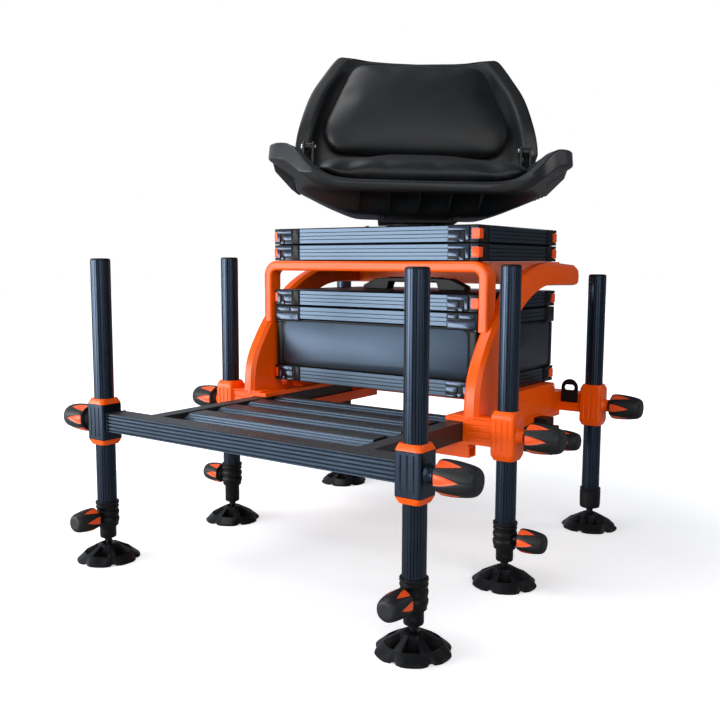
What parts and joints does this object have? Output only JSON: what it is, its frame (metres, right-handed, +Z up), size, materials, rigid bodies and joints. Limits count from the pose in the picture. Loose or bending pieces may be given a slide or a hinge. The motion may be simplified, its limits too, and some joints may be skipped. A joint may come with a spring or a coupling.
{
  "type": "fishing seat box",
  "caption": "Fishing seat box: welded frame on six telescopic legs with mud feet, sliding slatted footplate, draw-out case, stacked trays and a padded swivel seat with folding back.",
  "frame": {"origin": "centre of the outline on the ground under the feet", "axes": "+Z up, -Y towards the footplate, +X to the right of someone who looks at the footplate from outside"},
  "size_m": [0.8866, 0.9274, 1.029],
  "materials": {
    "orange_paint": "satin",
    "black_anodised": "satin",
    "black_rail": "satin",
    "black_plastic": "matte",
    "knob_rubber": "matte",
    "foot_rubber": "matte",
    "latch_orange": "satin",
    "grey_aluminium": "satin",
    "seat_vinyl": "satin",
    "steel": "satin"
  },
  "bodies": {
    "root": {"side_rail_left": "orange_paint", "side_rail_right": "orange_paint", "frame_cross_members": "orange_paint", "frame_clamps": "orange_paint", "arch_left": "orange_paint", "arch_right": "orange_paint", "front_hoop": "orange_paint", "strap_loop": "orange_paint", "plate_lock_blocks": "black_plastic", "lower_tray": "grey_aluminium", "lower_tray_fittings": "black_plastic"},
    "footplate": {"plate_front_rail": "black_rail", "plate_side_rails": "black_rail", "plate_slats": "black_rail", "plate_clamps": "black_rail"},
    "plate_leg_left": {"plate_leg_left": "black_anodised"},
    "plate_leg_left_clamp_knob": {"plate_leg_left_clamp_knob": "knob_rubber"},
    "plate_leg_left_inner": {"plate_leg_left_inner": "black_anodised"},
    "plate_leg_left_knob": {"plate_leg_left_knob": "knob_rubber"},
    "plate_leg_left_foot": {"plate_leg_left_foot": "foot_rubber"},
    "plate_leg_right": {"plate_leg_right": "black_anodised"},
    "plate_leg_right_clamp_knob": {"plate_leg_right_clamp_knob": "knob_rubber"},
    "plate_leg_right_inner": {"plate_leg_right_inner": "black_anodised"},
    "plate_leg_right_knob": {"plate_leg_right_knob": "knob_rubber"},
    "plate_leg_right_foot": {"plate_leg_right_foot": "foot_rubber"},
    "front_leg_left": {"front_leg_left": "black_anodised"},
    "front_leg_left_clamp_knob": {"front_leg_left_clamp_knob": "knob_rubber"},
    "front_leg_left_inner": {"front_leg_left_inner": "black_anodised"},
    "front_leg_left_knob": {"front_leg_left_knob": "knob_rubber"},
    "front_leg_left_foot": {"front_leg_left_foot": "foot_rubber"},
    "front_leg_right": {"front_leg_right": "black_anodised"},
    "front_leg_right_clamp_knob": {"front_leg_right_clamp_knob": "knob_rubber"},
    "front_leg_right_inner": {"front_leg_right_inner": "black_anodised"},
    "front_leg_right_knob": {"front_leg_right_knob": "knob_rubber"},
    "front_leg_right_foot": {"front_leg_right_foot": "foot_rubber"},
    "rear_leg_left": {"rear_leg_left": "black_anodised"},
    "rear_leg_left_clamp_knob": {"rear_leg_left_clamp_knob": "knob_rubber"},
    "rear_leg_left_foot": {"rear_leg_left_foot": "foot_rubber"},
    "rear_leg_right": {"rear_leg_right": "black_anodised"},
    "rear_leg_right_clamp_knob": {"rear_leg_right_clamp_knob": "knob_rubber"},
    "rear_leg_right_foot": {"rear_leg_right_foot": "foot_rubber"},
    "lock_knob_left": {"lock_knob_left": "knob_rubber"},
    "lock_knob_right": {"lock_knob_right": "knob_rubber"},
    "case": {"case_body": "grey_aluminium", "case_lid": "grey_aluminium", "case_fittings": "black_plastic", "case_handle": "black_plastic"},
    "seat_lid": {"seat_lid": "grey_aluminium", "seat_lid_fittings": "black_plastic", "swivel_base": "black_plastic"},
    "tray_latches_left": {"tray_latches_left": "latch_orange"},
    "case_latches_left": {"case_latches_left": "latch_orange"},
    "tray_latches_right": {"tray_latches_right": "latch_orange"},
    "case_latches_right": {"case_latches_right": "latch_orange"},
    "seat": {"swivel_plate": "black_plastic", "seat_pan": "black_plastic", "seat_cushion": "seat_vinyl", "seat_hinge_pins": "steel"},
    "seat_back": {"seat_back": "black_plastic", "back_cushion": "seat_vinyl"}
  },
  "joints": [
    {"name": "footplate_slide", "type": "slide", "parent": "root", "child": "footplate", "axis": [0, 1, 0], "range_m": [-0.12, 0.09]},
    {"name": "plate_leg_left_slide", "type": "slide", "parent": "footplate", "child": "plate_leg_left", "axis": [0, 0, 1], "range_m": [-0.2, 0.09]},
    {"name": "plate_leg_left_clamp_knob_turn", "type": "hinge", "parent": "footplate", "child": "plate_leg_left_clamp_knob", "pos_m": [-0.381, -0.38872, 0.265], "axis": [-1, 0, 0], "range_deg": [0, 360]},
    {"name": "plate_leg_left_inner_slide", "type": "slide", "parent": "plate_leg_left", "child": "plate_leg_left_inner", "axis": [0, 0, 1], "range_m": [-0.15, 0.015]},
    {"name": "plate_leg_left_knob_turn", "type": "hinge", "parent": "plate_leg_left", "child": "plate_leg_left_knob", "pos_m": [-0.341, -0.41872, 0.084], "axis": [0, -1, 0], "range_deg": [0, 360]},
    {"name": "plate_leg_left_foot_tilt", "type": "hinge", "parent": "plate_leg_left_inner", "child": "plate_leg_left_foot", "pos_m": [-0.341, -0.38872, 0.018], "axis": [1, 0, 0], "range_deg": [-18, 18]},
    {"name": "plate_leg_right_slide", "type": "slide", "parent": "footplate", "child": "plate_leg_right", "axis": [0, 0, 1], "range_m": [-0.2, 0.09]},
    {"name": "plate_leg_right_clamp_knob_turn", "type": "hinge", "parent": "footplate", "child": "plate_leg_right_clamp_knob", "pos_m": [0.381, -0.38872, 0.265], "axis": [1, 0, 0], "range_deg": [0, 360]},
    {"name": "plate_leg_right_inner_slide", "type": "slide", "parent": "plate_leg_right", "child": "plate_leg_right_inner", "axis": [0, 0, 1], "range_m": [-0.15, 0.015]},
    {"name": "plate_leg_right_knob_turn", "type": "hinge", "parent": "plate_leg_right", "child": "plate_leg_right_knob", "pos_m": [0.341, -0.41872, 0.084], "axis": [0, -1, 0], "range_deg": [0, 360]},
    {"name": "plate_leg_right_foot_tilt", "type": "hinge", "parent": "plate_leg_right_inner", "child": "plate_leg_right_foot", "pos_m": [0.341, -0.38872, 0.018], "axis": [1, 0, 0], "range_deg": [-18, 18]},
    {"name": "front_leg_left_slide", "type": "slide", "parent": "root", "child": "front_leg_left", "axis": [0, 0, 1], "range_m": [-0.2, 0.09]},
    {"name": "front_leg_left_clamp_knob_turn", "type": "hinge", "parent": "root", "child": "front_leg_left_clamp_knob", "pos_m": [-0.3675, -0.06622, 0.265], "axis": [-1, 0, 0], "range_deg": [0, 360]},
    {"name": "front_leg_left_inner_slide", "type": "slide", "parent": "front_leg_left", "child": "front_leg_left_inner", "axis": [0, 0, 1], "range_m": [-0.15, 0.015]},
    {"name": "front_leg_left_knob_turn", "type": "hinge", "parent": "front_leg_left", "child": "front_leg_left_knob", "pos_m": [-0.3575, -0.06622, 0.098], "axis": [-1, 0, 0], "range_deg": [0, 360]},
    {"name": "front_leg_left_foot_tilt", "type": "hinge", "parent": "front_leg_left_inner", "child": "front_leg_left_foot", "pos_m": [-0.3275, -0.06622, 0.018], "axis": [1, 0, 0], "range_deg": [-18, 18]},
    {"name": "front_leg_right_slide", "type": "slide", "parent": "root", "child": "front_leg_right", "axis": [0, 0, 1], "range_m": [-0.2, 0.09]},
    {"name": "front_leg_right_clamp_knob_turn", "type": "hinge", "parent": "root", "child": "front_leg_right_clamp_knob", "pos_m": [0.3675, -0.06622, 0.265], "axis": [1, 0, 0], "range_deg": [0, 360]},
    {"name": "front_leg_right_inner_slide", "type": "slide", "parent": "front_leg_right", "child": "front_leg_right_inner", "axis": [0, 0, 1], "range_m": [-0.15, 0.015]},
    {"name": "front_leg_right_knob_turn", "type": "hinge", "parent": "front_leg_right", "child": "front_leg_right_knob", "pos_m": [0.3575, -0.06622, 0.084], "axis": [1, 0, 0], "range_deg": [0, 360]},
    {"name": "front_leg_right_foot_tilt", "type": "hinge", "parent": "front_leg_right_inner", "child": "front_leg_right_foot", "pos_m": [0.3275, -0.06622, 0.018], "axis": [1, 0, 0], "range_deg": [-18, 18]},
    {"name": "rear_leg_left_slide", "type": "slide", "parent": "root", "child": "rear_leg_left", "axis": [0, 0, 1], "range_m": [-0.2, 0.09]},
    {"name": "rear_leg_left_clamp_knob_turn", "type": "hinge", "parent": "root", "child": "rear_leg_left_clamp_knob", "pos_m": [-0.3675, 0.34328, 0.265], "axis": [-1, 0, 0], "range_deg": [0, 360]},
    {"name": "rear_leg_left_foot_tilt", "type": "hinge", "parent": "rear_leg_left", "child": "rear_leg_left_foot", "pos_m": [-0.3275, 0.34328, 0.018], "axis": [1, 0, 0], "range_deg": [-18, 18]},
    {"name": "rear_leg_right_slide", "type": "slide", "parent": "root", "child": "rear_leg_right", "axis": [0, 0, 1], "range_m": [-0.2, 0.09]},
    {"name": "rear_leg_right_clamp_knob_turn", "type": "hinge", "parent": "root", "child": "rear_leg_right_clamp_knob", "pos_m": [0.3675, 0.34328, 0.265], "axis": [1, 0, 0], "range_deg": [0, 360]},
    {"name": "rear_leg_right_foot_tilt", "type": "hinge", "parent": "rear_leg_right", "child": "rear_leg_right_foot", "pos_m": [0.3275, 0.34328, 0.018], "axis": [1, 0, 0], "range_deg": [-18, 18]},
    {"name": "lock_knob_left_turn", "type": "hinge", "parent": "root", "child": "lock_knob_left", "pos_m": [-0.3, 0.21278, 0.208], "axis": [-1, 0, 0], "range_deg": [0, 360]},
    {"name": "lock_knob_right_turn", "type": "hinge", "parent": "root", "child": "lock_knob_right", "pos_m": [0.3, 0.21278, 0.208], "axis": [1, 0, 0], "range_deg": [0, 360]},
    {"name": "case_slide", "type": "slide", "parent": "root", "child": "case", "axis": [0, -1, 0], "range_m": [0, 0.34]},
    {"name": "seat_lid_hinge", "type": "hinge", "parent": "root", "child": "seat_lid", "pos_m": [0, 0.32778, 0.59645], "axis": [-1, 0, 0], "range_deg": [0, 50]},
    {"name": "tray_latches_left_press", "type": "slide", "parent": "seat_lid", "child": "tray_latches_left", "axis": [1, 0, 0], "range_m": [0, 0.003], "stiffness_N_per_m": 400},
    {"name": "case_latches_left_press", "type": "slide", "parent": "case", "child": "case_latches_left", "axis": [1, 0, 0], "range_m": [0, 0.003], "stiffness_N_per_m": 400},
    {"name": "tray_latches_right_press", "type": "slide", "parent": "seat_lid", "child": "tray_latches_right", "axis": [-1, 0, 0], "range_m": [0, 0.003], "stiffness_N_per_m": 400},
    {"name": "case_latches_right_press", "type": "slide", "parent": "case", "child": "case_latches_right", "axis": [-1, 0, 0], "range_m": [0, 0.003], "stiffness_N_per_m": 400},
    {"name": "seat_swivel", "type": "hinge", "parent": "seat_lid", "child": "seat", "pos_m": [0, 0.15478, 0.6296], "axis": [0, 0, 1], "continuous": true},
    {"name": "seat_back_fold", "type": "hinge", "parent": "seat", "child": "seat_back", "pos_m": [-0.05872, 0.24183, 0.808], "axis": [0.829, 0.5592, 0], "range_deg": [0, 105]}
  ]
}
